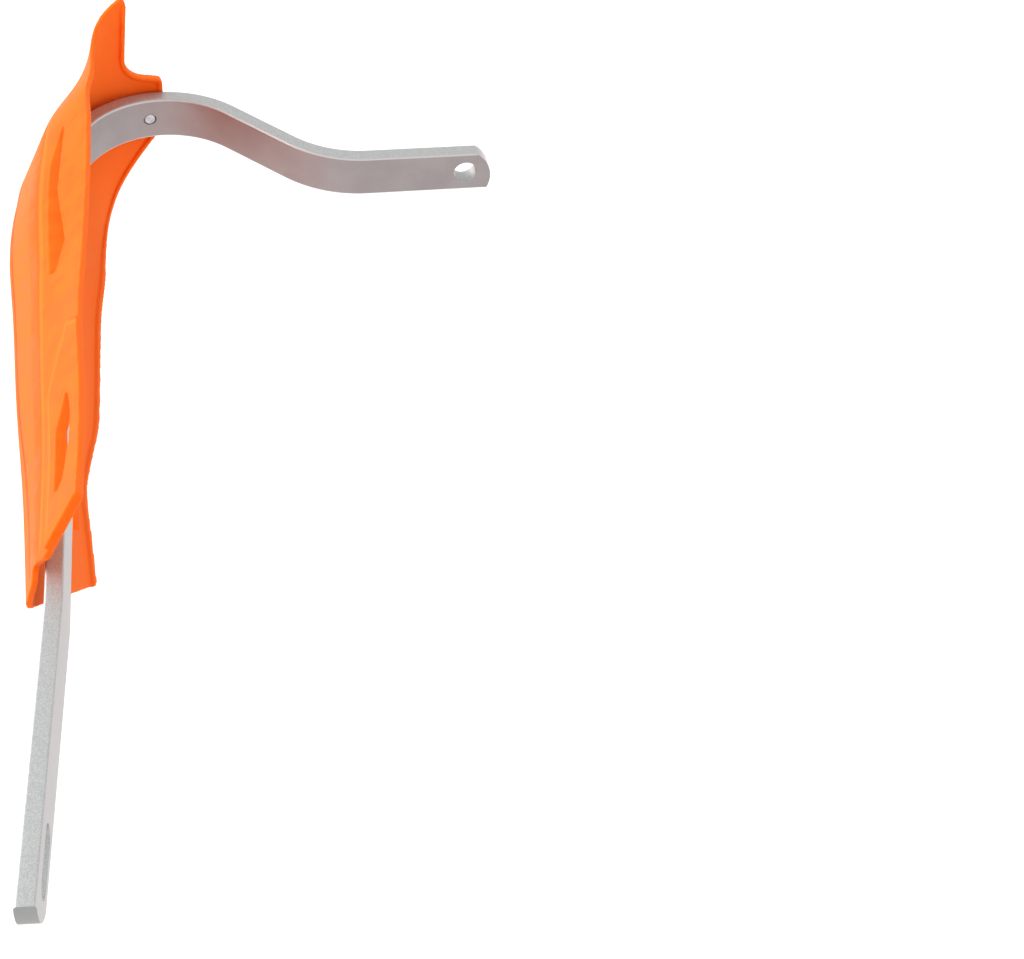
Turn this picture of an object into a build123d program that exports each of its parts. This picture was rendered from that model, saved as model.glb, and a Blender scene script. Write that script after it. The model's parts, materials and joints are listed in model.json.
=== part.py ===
from build123d import *
import os
from collections import namedtuple

# Right-hand motorcycle hand guard: a bent flat bar and the moulded shield that is screwed to it.
# Millimetres. X runs outboard, Y forward, Z up. The origin is the middle of the bar-end hole.
# A station is a length along the bar's middle line from that hole. Out is away from the hand.

# Bar section
BAR_HEIGHT = 18.0
BAR_THICKNESS = 6.0
BAR_EDGE_BREAK = 0.9

# Bar route, in order from the bar-end hole
TAB_RUN = 40.0
KICK_RADIUS = 42.5
KICK_ANGLE = 43.5
KICK_RUN = 30.0
ARCH_RADIUS = 38.0
ARCH_ANGLE = 130.25
FRONT_RUN = 203.5
LEG_BEND_RADIUS = 100.0
LEG_BEND_ANGLE = 3.0
LEG_RUN = 95.5

# Bar ends: arcs whose centres stand off the bar's middle height
TAB_END_REACH = 10.7
TAB_END_RADIUS = 14.3
TAB_END_LIFT = -3.3
LEG_END_RADIUS = 13.5
LEG_END_LIFT = 3.5
END_WASTE = 4.0

# Bar fixings
BAR_END_HOLE_DIAMETER = 9.5
CLAMP_SLOT_WIDTH = 9.0
CLAMP_SLOT_LENGTH = 22.0
CLAMP_SLOT_END_LAND = 7.0
HOLE_EDGE_BREAK = 0.4

# Shield screws
SCREW_DIAMETER = 5.0
SCREW_HEAD_DIAMETER = 9.5
SCREW_HEAD_HEIGHT = 2.75
SCREW_HEAD_BREAK = 1.2
SCREW_SOCKET_WIDTH = 3.0
SCREW_SOCKET_DEPTH = 1.6
SCREW_POINT_BREAK = 0.5
THREAD_CLEARANCE = 0.05
WASHER_DIAMETER = 12.0
WASHER_THICKNESS = 1.0
WASHER_CLEARANCE = 0.2
SCREW_HOLE_CLEARANCE = 0.3
OUTER_SCREW_STATION = 136.6
INNER_SCREW_STATION = 322.0
OUTER_SEAT_HEIGHT = 3.8
SEAT_LAND = 0.8
INNER_SCREW_GRIP = 5.5
INNER_BOSS_RADIUS = 5.5
INNER_BOSS_REACH = 18.0
BLIND_HOLE_SPARE = 0.5

# Shield wall, its section and its rim. Heights are from the bar's middle.
SHIELD_WALL = 2.0
SHIELD_CLEARANCE = 0.2
CREASE_RADIUS = 8.0
PROW_BREAK = 2.0
PROW_HEIGHT = -6.0
FOOT_HEIGHT = -45.0
FOOT_OVERRUN = 12.0
RIM_WIDTH = 1.7
RIM_RISE = 1.0
RIM_TOP_DROP = 3.0
CORNER_ROUND = 2.0

# How the shield's outer face stands at each station: how far out its top edge is and how high, then the
# same for its crease, then how far out its prow and its foot are.
Section = namedtuple("Section", "station top top_height crease crease_height prow foot")
SHIELD_SECTIONS = (
    Section(114, 8.0, 53.0, 6.5, 20.0, 6.1, 5.8),
    Section(128, 7.4, 53.0, 6.1, 20.0, 6.1, 5.2),
    Section(141, 6.6, 52.0, 6.1, 20.0, 6.8, 4.4),
    Section(149, 5.0, 45.4, 6.4, 20.0, 7.6, 3.4),
    Section(156, 2.0, 41.7, 6.7, 20.0, 8.9, 1.5),
    Section(164, -5.3, 40.1, 6.4, 20.0, 11.2, -1.8),
    Section(174, -9.0, 40.0, 5.2, 20.0, 14.0, -5.6),
    Section(190, -10.2, 40.0, 7.5, 20.0, 19.2, -6.6),
    Section(225, -10.8, 40.0, 9.3, 20.0, 22.1, -4.6),
    Section(265, -10.0, 40.0, 7.4, 20.0, 19.3, -5.2),
    Section(305, -8.8, 40.0, 6.0, 18.0, 16.7, -5.8),
    Section(345, -10.3, 40.0, 4.8, 15.5, 13.1, -8.8),
    Section(392, -9.5, 40.0, 5.2, 13.0, 10.2, -11.9),
)
SECTION_PITCH = 14.0

# Outer end of the shield, seen square to the outer screw: length along the bar from that screw, and height
HORN_TIP = (4.2, 52.5)
HORN_TIP_ROUND = 3.5
HORN_ROOT = (7.8, 17.3)
HORN_ROOT_ROUND = 9.0
OUTER_END = -7.0
OUTER_END_TOP = 14.4
OUTER_END_FOOT = -8.6
CHEEK_FOOT = (22.3, -45.2)
CHEEK_ROUND = 16.0

# Inner end of the shield, seen square to the bar at the inner view station: length along the bar, and height
INNER_VIEW_STATION = 362.0
END_TOP = (18.0, 40.0)
END_CORNER = (24.5, 18.5)
END_NOTCH = (20.0, 8.5)
NOSE_END = 25.0
NOSE_TOP = 7.0
NOSE_FOOT = -6.0
INNER_FOOT = (-4.0, -36.6)
INNER_FOOT_ROUND = 4.0
WAIST = (-43.0, -35.3)
WAIST_ROUND = 60.0
BELLY = (-80.0, -43.8)
BELLY_ROUND = 60.0

# Raised panel and vents, seen from the inner view station: corners and the rounds between their sides
PANEL_RISE = 1.2
PANEL_CORNERS = ((-42, 60), (-58.5, 35.5), (-36, 22.8), (40, 21.5))
PANEL_ROUNDS = (0, 3, 8, 0)
LONG_VENT_CORNERS = ((-170, 30.2), (-150, 25.6), (-91.5, 25.2), (-88.5, 27.3), (-101, 31.8), (-130, 28.6))
LONG_VENT_ROUNDS = (0.5, 60, 1.5, 1.5, 4, 40)
SHORT_VENT_CORNERS = ((-29.5, 34.5), (-17.5, 28), (8, 27.6), (5, 32.3), (-7.3, 35.3), (-19, 36))
SHORT_VENT_ROUNDS = (0.8, 4, 1.2, 2, 8, 4)
FOOT_VENT_CORNERS = ((-48, -16), (-48, -32), (-22, -30.5), (-22, -16))
FOOT_VENT_ROUND = 2.5


def bar_route():
    """Middle line of the bar, from beyond the tab end to beyond the leg end."""
    tab = Line((0, -TAB_END_REACH - END_WASTE), (0, TAB_RUN))
    kick = JernArc(tab @ 1, tab % 1, KICK_RADIUS, -KICK_ANGLE)
    rise = Line(kick @ 1, kick @ 1 + (kick % 1) * KICK_RUN)
    arch = JernArc(rise @ 1, rise % 1, ARCH_RADIUS, ARCH_ANGLE)
    front = Line(arch @ 1, arch @ 1 + (arch % 1) * FRONT_RUN)
    bend = JernArc(front @ 1, front % 1, LEG_BEND_RADIUS, -LEG_BEND_ANGLE)
    leg = Line(bend @ 1, bend @ 1 + (bend % 1) * (LEG_RUN + END_WASTE))
    return Wire([tab, kick, rise, arch, front, bend, leg])


ROUTE = bar_route()
LEG_END = ROUTE.length - END_WASTE - TAB_END_REACH - END_WASTE


def face_plane(station, out=0.0):
    """Plane parallel to the bar's wide face: x along the bar, y up, z outward."""
    length = station + TAB_END_REACH + END_WASTE
    along = ROUTE.tangent_at(length, position_mode=PositionMode.LENGTH)
    outward = along.cross(Vector(0, 0, 1))
    origin = ROUTE.position_at(length, position_mode=PositionMode.LENGTH)
    return Plane(origin + outward * out, x_dir=along, z_dir=outward)


def cross_plane(station):
    """Plane across the bar: x outward, y up."""
    face = face_plane(station)
    return Plane(face.origin, x_dir=face.z_dir, z_dir=-face.x_dir)


def bar_sweep(clearance=0.0):
    """The bar's section, grown by a clearance, carried along its route."""
    thickness = BAR_THICKNESS + 2 * clearance
    height = BAR_HEIGHT + 2 * clearance
    start = Plane(ROUTE @ 0, x_dir=(1, 0, 0), z_dir=ROUTE % 0)
    profile = chamfer(Rectangle(thickness, height).vertices(), BAR_EDGE_BREAK)
    return sweep(start * profile, path=ROUTE)


def end_waste(plane, radius, lift):
    """What is cut away past the arc of a bar end. The plane's x points off the bar."""
    waste = Pos(radius, lift) * Rectangle(2 * radius, 4 * radius) - Pos(0, lift) * Circle(radius)
    return extrude(plane * waste, amount=BAR_THICKNESS, both=True)


def countersunk_cut(plane, outline, break_size):
    """Cut right through the bar, with both edges broken. The breaks start off the face, as it may be bent."""
    cut = extrude(plane * outline, amount=BAR_THICKNESS, both=True)
    grown = offset(outline, 2 * break_size)
    for side in (1, -1):
        clear = plane.z_dir * side * (BAR_THICKNESS / 2 + break_size)
        mouth = Plane(plane.origin + clear, plane.x_dir, plane.z_dir * side)
        cut += extrude(mouth * grown, amount=-2 * break_size, taper=45)
    return cut


def inner_seat():
    """Plane of the bar's hand side at the inner screw, facing the hand."""
    face = face_plane(INNER_SCREW_STATION, -BAR_THICKNESS / 2)
    return Plane(face.origin, x_dir=face.x_dir, z_dir=-face.z_dir)


def sunk_head(clearance=0.0):
    """Cone of the inner screw's head, flush with the bar's hand side."""
    depth = (SCREW_HEAD_DIAMETER - SCREW_DIAMETER) / 2
    return extrude(inner_seat() * Circle(SCREW_HEAD_DIAMETER / 2 + clearance), amount=-depth, taper=45)


def make_bar():
    bar = bar_sweep()
    tab_end = face_plane(TAB_END_RADIUS - TAB_END_REACH)
    tab_end = Plane(tab_end.origin, x_dir=-tab_end.x_dir, z_dir=-tab_end.z_dir)
    bar -= end_waste(tab_end, TAB_END_RADIUS, TAB_END_LIFT)
    bar -= end_waste(face_plane(LEG_END - LEG_END_RADIUS), LEG_END_RADIUS, LEG_END_LIFT)
    bar -= countersunk_cut(face_plane(0), Circle(BAR_END_HOLE_DIAMETER / 2), HOLE_EDGE_BREAK)
    slot_middle = LEG_END - CLAMP_SLOT_END_LAND - CLAMP_SLOT_LENGTH / 2
    slot = SlotOverall(CLAMP_SLOT_LENGTH, CLAMP_SLOT_WIDTH)
    bar -= countersunk_cut(face_plane(slot_middle), slot, HOLE_EDGE_BREAK)
    tapped = Circle(SCREW_DIAMETER / 2 + THREAD_CLEARANCE)
    bar -= countersunk_cut(face_plane(OUTER_SCREW_STATION), tapped, HOLE_EDGE_BREAK)
    plain = Circle(SCREW_DIAMETER / 2 + SCREW_HOLE_CLEARANCE)
    bar -= extrude(face_plane(INNER_SCREW_STATION) * plain, amount=BAR_THICKNESS, both=True)
    bar -= sunk_head(THREAD_CLEARANCE)
    return bar


def parallel_run(points, distance):
    """Corner points of the line that runs a distance outside a run of points going down."""
    steps = [(b - a).normalized() for a, b in zip(points, points[1:])]
    normals = [Vector(-step.Y, step.X) for step in steps]
    normals = [normals[0], *normals, normals[-1]]
    moved = []
    for point, before, after in zip(points, normals, normals[1:]):
        moved.append(point + (before + after) * (distance / (1 + before.dot(after))))
    return moved


def blended_section(station):
    """Section at any station, on a smooth curve through the values of the given ones."""
    rows = SHIELD_SECTIONS
    step = sum(station >= row.station for row in rows[1:-1])
    low, high = rows[step], rows[step + 1]
    before = rows[max(step - 1, 0)]
    after = rows[min(step + 2, len(rows) - 1)]
    span = high.station - low.station
    share = (station - low.station) / span
    values = [station]
    for first, start, end, last in list(zip(before, low, high, after))[1:]:
        start_slope = (end - first) / (high.station - before.station) * span
        end_slope = (last - start) / (after.station - low.station) * span
        bend = start_slope + end_slope - 2 * (end - start)
        lean = end - start - start_slope - bend
        values.append(start + share * (start_slope + share * (lean + share * bend)))
    return Section(*values)


def section_points(section):
    """Outer corner points of the shield at a section. The foot runs past the edge that is trimmed later."""
    top = Vector(section.top, section.top_height)
    crease = Vector(section.crease, section.crease_height)
    prow = Vector(section.prow, PROW_HEIGHT)
    foot = Vector(section.foot, FOOT_HEIGHT)
    upper_break = prow + (crease - prow).normalized() * PROW_BREAK
    lower_break = prow + (foot - prow).normalized() * PROW_BREAK
    foot += (foot - prow).normalized() * FOOT_OVERRUN
    return [top, crease, upper_break, lower_break, foot]


def shield_skin(outer, inner, top_rise=0.0):
    """Shell along the shield's outer face, between two distances outside it, with its top edge raised."""
    first, last = SHIELD_SECTIONS[0].station, SHIELD_SECTIONS[-1].station
    count = round((last - first) / SECTION_PITCH)
    wires = []
    for step in range(count + 1):
        section = blended_section(first + (last - first) * step / count)
        points = section_points(section)
        points[0] += (points[0] - points[1]).normalized() * top_rise
        front = FilletPolyline(*parallel_run(points, outer), radius=(CREASE_RADIUS + outer, 0, 0))
        back = FilletPolyline(*parallel_run(points, inner), radius=(CREASE_RADIUS + inner, 0, 0))
        edges = [*front.edges(), *back.edges(), Line(front @ 0, back @ 0), Line(front @ 1, back @ 1)]
        wires.append(cross_plane(section.station) * Wire(edges))
    return Solid.make_loft(wires)


def rounded_outline(corners, rounds):
    return make_face(FilletPolyline(*corners, radius=rounds, close=True))


def outer_end_outline():
    """What is kept of the shield, seen square to the outer screw."""
    far = ROUTE.length
    corners = [
        HORN_TIP,
        HORN_ROOT,
        (OUTER_END, OUTER_END_TOP),
        (OUTER_END, OUTER_END_FOOT),
        CHEEK_FOOT,
        (far, CHEEK_FOOT[1]),
        (far, HORN_TIP[1]),
    ]
    rounds = [HORN_TIP_ROUND, HORN_ROOT_ROUND, CORNER_ROUND, CORNER_ROUND, CHEEK_ROUND, 0, 0]
    return rounded_outline(corners, rounds)


def inner_end_outline():
    """What is kept of the shield, seen square to the bar at the inner view station."""
    far = -ROUTE.length
    above = HORN_TIP[1] + FOOT_OVERRUN
    corners = [
        (END_TOP[0], above),
        END_TOP,
        END_CORNER,
        END_NOTCH,
        (NOSE_END, NOSE_TOP),
        (NOSE_END, NOSE_FOOT),
        INNER_FOOT,
        WAIST,
        BELLY,
        (far, FOOT_HEIGHT - FOOT_OVERRUN),
        (far, above),
    ]
    rounds = [0, *[CORNER_ROUND] * 5, INNER_FOOT_ROUND, WAIST_ROUND, BELLY_ROUND, 0, 0]
    return rounded_outline(corners, rounds)


def through(station, outline):
    """An outline drawn square to the bar at a station, carried right through the shield."""
    return extrude(face_plane(station) * outline, amount=ROUTE.length, both=True)


def outward(station, outline):
    """An outline drawn square to the bar at a station, carried outward from the bar."""
    return extrude(face_plane(station) * outline, amount=ROUTE.length)


def trimmed(skin):
    """A skin cut to the shield's two end outlines."""
    skin &= through(OUTER_SCREW_STATION, outer_end_outline())
    return skin & through(INNER_VIEW_STATION, inner_end_outline())


def shield_rim():
    """Thicker band inside the shield's free edges, apart from its inner end."""
    climb = (NOSE_FOOT - INNER_FOOT[1]) / (NOSE_END - INNER_FOOT[0])
    inside = Pos(RIM_WIDTH / climb, RIM_WIDTH) * inner_end_outline()
    rim = trimmed(shield_skin(-SHIELD_WALL / 2, -SHIELD_WALL - RIM_RISE, -RIM_TOP_DROP))
    field = through(OUTER_SCREW_STATION, offset(outer_end_outline(), -RIM_WIDTH))
    field &= through(INNER_VIEW_STATION, inside)
    return rim - field


def raised_panel():
    """Stepped panel on the upper face, from its pointed start to the inner end."""
    far_top = (PANEL_CORNERS[-1][0], PANEL_CORNERS[0][1])
    outline = rounded_outline((far_top, *PANEL_CORNERS), (0, *PANEL_ROUNDS))
    skin = trimmed(shield_skin(PANEL_RISE, -SHIELD_WALL / 2, PANEL_RISE))
    return skin & through(INNER_VIEW_STATION, outline)


def vents():
    """The long and the short vent in the upper face, and the one in the lower face."""
    cut = through(INNER_VIEW_STATION, rounded_outline(LONG_VENT_CORNERS, LONG_VENT_ROUNDS))
    cut += through(INNER_VIEW_STATION, rounded_outline(SHORT_VENT_CORNERS, SHORT_VENT_ROUNDS))
    cut += through(INNER_VIEW_STATION, rounded_outline(FOOT_VENT_CORNERS, FOOT_VENT_ROUND))
    return cut


def outer_seat():
    """Plane of the outer washer's seat, facing outward."""
    return face_plane(OUTER_SCREW_STATION, BAR_THICKNESS / 2 + OUTER_SEAT_HEIGHT)


def outer_boss():
    """Pad that stands on the bar under the outer washer."""
    pad = Circle(WASHER_DIAMETER / 2 + SEAT_LAND)
    return extrude(outer_seat() * pad, amount=-OUTER_SEAT_HEIGHT)


def outer_screw_room():
    """Hole for the outer screw, and the room for its washer and head above their seat."""
    hole = Circle(SCREW_DIAMETER / 2 + SCREW_HOLE_CLEARANCE)
    room = Circle(WASHER_DIAMETER / 2 + SEAT_LAND)
    return outward(OUTER_SCREW_STATION, hole) + extrude(outer_seat() * room, amount=ROUTE.length)


def inner_boss():
    """Pillar on the shield's back that the inner screw bites into."""
    pillar = extrude(face_plane(INNER_SCREW_STATION) * Circle(INNER_BOSS_RADIUS), amount=INNER_BOSS_REACH)
    return pillar - shield_skin(INNER_BOSS_REACH, -SHIELD_WALL / 2)


def inner_screw_hole():
    """Blind hole in the pillar."""
    hole = Circle(SCREW_DIAMETER / 2 + THREAD_CLEARANCE)
    depth = BAR_THICKNESS / 2 + INNER_SCREW_GRIP + BLIND_HOLE_SPARE
    return extrude(face_plane(INNER_SCREW_STATION) * hole, amount=depth)


def make_shield():
    shield = trimmed(shield_skin(0, -SHIELD_WALL)) + shield_rim() + raised_panel()
    shield -= vents()
    shield += outer_boss()
    shield += inner_boss()
    shield -= outer_screw_room()
    shield -= inner_screw_hole()
    shield -= bar_sweep(SHIELD_CLEARANCE)
    return shield


def socket_cut(plane):
    """Six-sided socket sunk into a screw head from the given plane."""
    socket = RegularPolygon(SCREW_SOCKET_WIDTH / 2, 6, major_radius=False)
    return extrude(plane * socket, amount=-SCREW_SOCKET_DEPTH)


def shank(plane, length):
    """Screw shank that goes down from the plane, with its tip broken."""
    rod = extrude(Circle(SCREW_DIAMETER / 2), amount=-length)
    return plane.location * chamfer(rod.edges().sort_by(Axis.Z)[0], SCREW_POINT_BREAK)


def make_outer_washer():
    ring = Circle(WASHER_DIAMETER / 2) - Circle(SCREW_DIAMETER / 2 + WASHER_CLEARANCE)
    return extrude(outer_seat() * ring, amount=WASHER_THICKNESS)


def make_outer_screw():
    """Button-head screw on its washer, with its tip flush in the bar's hand side."""
    under_head = outer_seat().offset(WASHER_THICKNESS)
    head = extrude(Circle(SCREW_HEAD_DIAMETER / 2), amount=SCREW_HEAD_HEIGHT)
    head = under_head.location * chamfer(head.edges().sort_by(Axis.Z)[-1], SCREW_HEAD_BREAK)
    head -= socket_cut(under_head.offset(SCREW_HEAD_HEIGHT))
    return head + shank(under_head, WASHER_THICKNESS + OUTER_SEAT_HEIGHT + BAR_THICKNESS)


def make_inner_screw():
    """Countersunk screw, flush in the bar's hand side, that bites into the shield's pillar."""
    screw = sunk_head() + shank(inner_seat(), BAR_THICKNESS + INNER_SCREW_GRIP)
    return screw - socket_cut(inner_seat())


PIECES = {
    "guard_bar": make_bar(),
    "hand_shield": make_shield(),
    "outer_shield_screw": make_outer_screw(),
    "outer_screw_washer": make_outer_washer(),
    "inner_shield_screw": make_inner_screw(),
}

os.makedirs("parts", exist_ok=True)
for name, piece in PIECES.items():
    export_step(piece, f"parts/{name}.step")
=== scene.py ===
import json
import logging
from dataclasses import dataclass, field
from enum import Enum
from math import cos, pi, radians, sin
from typing import Iterable

import bpy
import numpy as np
from mathutils import Matrix, Vector

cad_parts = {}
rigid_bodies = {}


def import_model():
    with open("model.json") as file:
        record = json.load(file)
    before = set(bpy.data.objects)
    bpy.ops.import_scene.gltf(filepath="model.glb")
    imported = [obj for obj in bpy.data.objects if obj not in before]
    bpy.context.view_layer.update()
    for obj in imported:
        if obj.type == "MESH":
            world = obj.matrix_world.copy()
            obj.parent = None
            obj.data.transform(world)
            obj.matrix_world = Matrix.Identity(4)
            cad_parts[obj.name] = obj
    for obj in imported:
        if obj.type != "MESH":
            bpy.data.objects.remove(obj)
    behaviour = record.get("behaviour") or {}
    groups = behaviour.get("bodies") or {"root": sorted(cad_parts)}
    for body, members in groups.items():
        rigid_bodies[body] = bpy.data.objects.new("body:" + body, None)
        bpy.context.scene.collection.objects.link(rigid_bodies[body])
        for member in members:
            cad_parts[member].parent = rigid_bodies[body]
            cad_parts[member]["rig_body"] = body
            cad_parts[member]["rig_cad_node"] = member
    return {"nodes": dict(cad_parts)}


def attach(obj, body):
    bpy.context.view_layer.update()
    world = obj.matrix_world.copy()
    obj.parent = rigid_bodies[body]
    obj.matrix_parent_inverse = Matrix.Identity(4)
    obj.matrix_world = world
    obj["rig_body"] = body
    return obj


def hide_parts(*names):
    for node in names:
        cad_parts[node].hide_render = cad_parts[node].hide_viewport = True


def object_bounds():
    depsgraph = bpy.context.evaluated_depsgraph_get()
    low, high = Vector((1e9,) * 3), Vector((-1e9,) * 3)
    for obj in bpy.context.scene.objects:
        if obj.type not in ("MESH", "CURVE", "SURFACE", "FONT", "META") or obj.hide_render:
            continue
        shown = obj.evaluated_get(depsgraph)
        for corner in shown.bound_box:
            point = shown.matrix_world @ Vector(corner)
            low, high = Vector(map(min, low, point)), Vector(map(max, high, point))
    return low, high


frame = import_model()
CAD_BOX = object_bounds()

# Dressed right-hand motorcycle hand guard, in metres. X is outboard, Y is forward and Z is up.

Colour = tuple[float, float, float, float]
Triple = tuple[float, float, float]
Span = tuple[float, float]
Outline = list[Span]
Piece = bpy.types.Object
Socket = bpy.types.NodeSocket

LOG = logging.getLogger("hand_guard")
ROOT_BODY = "root"
MILLIMETRE = 0.001
BAR_THICKNESS = 6 * MILLIMETRE
MERGE_DISTANCE = 0.001 * MILLIMETRE
WHITE: Colour = (1.0, 1.0, 1.0, 1.0)
RISING: Span = (0.0, 1.0)
FALLING: Span = (1.0, 0.0)
RAY_SAMPLES = 8
# A mix node has sockets for every kind of value. These are the share, the two colours and their mix.
MIX_INPUTS = (0, 6, 7)
MIX_RESULT = 2


class Slot(Enum):
    """Material slots of the record that the pieces take their finish from."""

    BAR = "bar_aluminium"
    SHIELD = "shield_plastic"
    FASTENER = "fastener_steel"


class Node(Enum):
    """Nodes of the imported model."""

    BAR = "guard_bar"
    SHIELD = "hand_shield"
    OUTER_SCREW = "outer_shield_screw"
    OUTER_WASHER = "outer_screw_washer"
    INNER_SCREW = "inner_shield_screw"


class NodeGraph:
    """Shorthand for adding and linking the nodes of one material."""

    def __init__(self, name: str) -> None:
        """Start a material with only its surface shader and output.

        Args:
            name: name of the material.
        """
        self.material = bpy.data.materials.new(name)
        self.material.use_nodes = True
        self.tree = self.material.node_tree
        self.shader = self.tree.nodes["Principled BSDF"]

    def add(self, kind: str, inputs: dict | None = None, **settings: object) -> bpy.types.Node:
        """Add a node and set it up.

        Args:
            kind: Blender's name of the node type.
            inputs: input name or number to a value, or to an output socket to link from.
            settings: attributes of the node.

        Returns:
            The new node.
        """
        node = self.tree.nodes.new(kind)
        for key, value in settings.items():
            setattr(node, key, value)
        for key, value in (inputs or {}).items():
            self.feed(node.inputs[key], value)
        return node

    def feed(self, socket: Socket, value: object) -> None:
        """Link an output to a socket, or set the socket's own value.

        Args:
            socket: the input to feed.
            value: an output socket, or a plain value.
        """
        if isinstance(value, Socket):
            self.tree.links.new(value, socket)
        else:
            socket.default_value = value

    def dress(self, inputs: dict) -> None:
        """Feed the surface shader.

        Args:
            inputs: input name to a value, or to an output socket to link from.
        """
        for key, value in inputs.items():
            self.feed(self.shader.inputs[key], value)

    def here(self) -> Socket:
        """Object coordinates of the surface."""
        return self.add("ShaderNodeTexCoord").outputs["Object"]

    def spot(self, axis: str) -> Socket:
        """Object coordinate of the surface along one axis."""
        return self.add("ShaderNodeSeparateXYZ", {"Vector": self.here()}).outputs[axis]

    def facing(self, axis: str) -> Socket:
        """How far the surface faces along an axis, from -1 to 1."""
        normal = self.add("ShaderNodeNewGeometry").outputs["Normal"]
        return self.add("ShaderNodeSeparateXYZ", {"Vector": normal}).outputs[axis]

    def noise(self, vector: Socket, size: float, detail: float = 3.0) -> Socket:
        """Soft random pattern.

        Args:
            vector: coordinates of the pattern.
            size: rough size of one blotch, in metres.
            detail: octaves of finer pattern.

        Returns:
            The pattern's value, about 0.5 in the middle.
        """
        inputs = {"Vector": vector, "Scale": 1.0 / size, "Detail": detail}
        return self.add("ShaderNodeTexNoise", inputs).outputs["Fac"]

    def ramp(self, value: Socket, limits: Span, results: Span = RISING) -> Socket:
        """Spread a value between two limits, smoothly.

        Args:
            value: the value to spread.
            limits: values that give the first and the second result.
            results: the two results.

        Returns:
            The spread value.
        """
        inputs = {"Value": value, "From Min": limits[0], "From Max": limits[1]}
        inputs |= {"To Min": results[0], "To Max": results[1]}
        return self.add("ShaderNodeMapRange", inputs, interpolation_type="SMOOTHSTEP").outputs["Result"]

    def stripe(self, value: Socket, span: Span, soft: float) -> Socket:
        """Soft-edged stripe between two values.

        Args:
            value: the value that the stripe follows.
            span: where the stripe starts and ends.
            soft: how far each of its edges fades.

        Returns:
            1 in the stripe and 0 outside it.
        """
        start, end = span
        rise = self.ramp(value, (start - soft, start + soft))
        return self.maths("MULTIPLY", rise, self.ramp(value, (end - soft, end + soft), FALLING))

    def blend(self, share: Socket, first: object, second: object) -> Socket:
        """Mix two colours.

        Args:
            share: 0 for the first colour and 1 for the second.
            first: a colour, or an output that gives one.
            second: a colour, or an output that gives one.

        Returns:
            The mixed colour.
        """
        node = self.add("ShaderNodeMix", data_type="RGBA")
        for number, value in zip(MIX_INPUTS, (share, first, second)):
            self.feed(node.inputs[number], value)
        return node.outputs[MIX_RESULT]

    def maths(self, operation: str, first: object, second: object = 0.0) -> Socket:
        """One sum on two values.

        Args:
            operation: Blender's name of the operation.
            first: a value, or an output that gives one.
            second: a value, or an output that gives one.

        Returns:
            The result.
        """
        return self.add("ShaderNodeMath", {0: first, 1: second}, operation=operation).outputs[0]

    def relief(self, height: Socket, depth: float, strength: float, edge: float) -> None:
        """Give the surface a fine relief over softened edges.

        Args:
            height: height pattern, in which 1 stands for the depth.
            depth: depth of the relief, in metres.
            strength: share of the relief that shows.
            edge: radius that sharp edges are softened to, in metres.
        """
        soft = self.add("ShaderNodeBevel", {"Radius": edge}, samples=RAY_SAMPLES).outputs["Normal"]
        inputs = {"Height": height, "Distance": depth, "Strength": strength, "Normal": soft}
        self.dress({"Normal": self.add("ShaderNodeBump", inputs).outputs["Normal"]})


@dataclass
class BarRoute:
    """Middle line of the bar, with the stations of the two screws.

    A station is a length along the line from the bar-end hole, in metres.
    """

    tab: float = 40 * MILLIMETRE
    kick_radius: float = 42.5 * MILLIMETRE
    kick_turn: float = radians(-43.5)
    rise: float = 30 * MILLIMETRE
    arch_radius: float = 38 * MILLIMETRE
    arch_turn: float = radians(130.25)
    front: float = 203.5 * MILLIMETRE
    bend_radius: float = 100 * MILLIMETRE
    bend_turn: float = radians(-3.0)
    leg: float = 95.5 * MILLIMETRE
    outer_screw: float = 136.6 * MILLIMETRE
    inner_screw: float = 322 * MILLIMETRE

    def runs(self) -> list[Span]:
        """Straight runs and bends of the bar.

        Returns:
            Length and turn of each, in order from the hole.
        """
        bends = (
            (self.kick_radius, self.kick_turn),
            (self.arch_radius, self.arch_turn),
            (self.bend_radius, self.bend_turn),
        )
        kick, arch, bend = ((radius * abs(turn), turn) for radius, turn in bends)
        return [(self.tab, 0.0), kick, (self.rise, 0.0), arch, (self.front, 0.0), bend, (self.leg, 0.0)]

    def length(self) -> float:
        """Station of the leg's end."""
        return sum(run for run, _ in self.runs())

    def place(self, station: float) -> Matrix:
        """Where the bar is at a station.

        Args:
            station: length along the bar from the hole.

        Returns:
            A matrix with the bar's direction as x, up as y and out, away from the hand, as z.
        """
        point, heading, left = Vector((0.0, 0.0, 0.0)), pi / 2, station
        for number, (run, turn) in enumerate(self.runs()):
            last = number == len(self.runs()) - 1
            step = left if last else min(left, run)
            swing = turn * step / run
            along = Vector((cos(heading), sin(heading), 0.0))
            if turn:
                side = Vector((-along.y, along.x, 0.0)) * (run / turn)
                point = point + side - Matrix.Rotation(swing, 3, "Z") @ side
            else:
                point = point + along * step
            heading += swing
            left -= step
            if left <= 0.0:
                break
        along = Vector((cos(heading), sin(heading), 0.0))
        up = Vector((0.0, 0.0, 1.0))
        turned = Matrix((along, up, along.cross(up))).transposed().to_4x4()
        return Matrix.Translation(point) @ turned


@dataclass(frozen=True)
class Mark:
    """A soft-edged stripe of another colour, beside a line on the surface."""

    span: Span
    soft: float
    strength: float
    colour: Colour


@dataclass(frozen=True)
class SlopingLine:
    """A line along the shield that slopes from one height to another. Ends are places along X."""

    ends: Span
    heights: Span
    marks: tuple[Mark, ...]

    def above(self, graph: NodeGraph) -> Socket:
        """Height above the line.

        Args:
            graph: the material.

        Returns:
            The height, in metres.
        """
        inputs = {"Value": graph.spot("X"), "From Min": self.ends[0], "From Max": self.ends[1]}
        inputs |= {"To Min": self.heights[0], "To Max": self.heights[1]}
        line = graph.add("ShaderNodeMapRange", inputs).outputs["Result"]
        return graph.maths("SUBTRACT", graph.spot("Z"), line)


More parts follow.
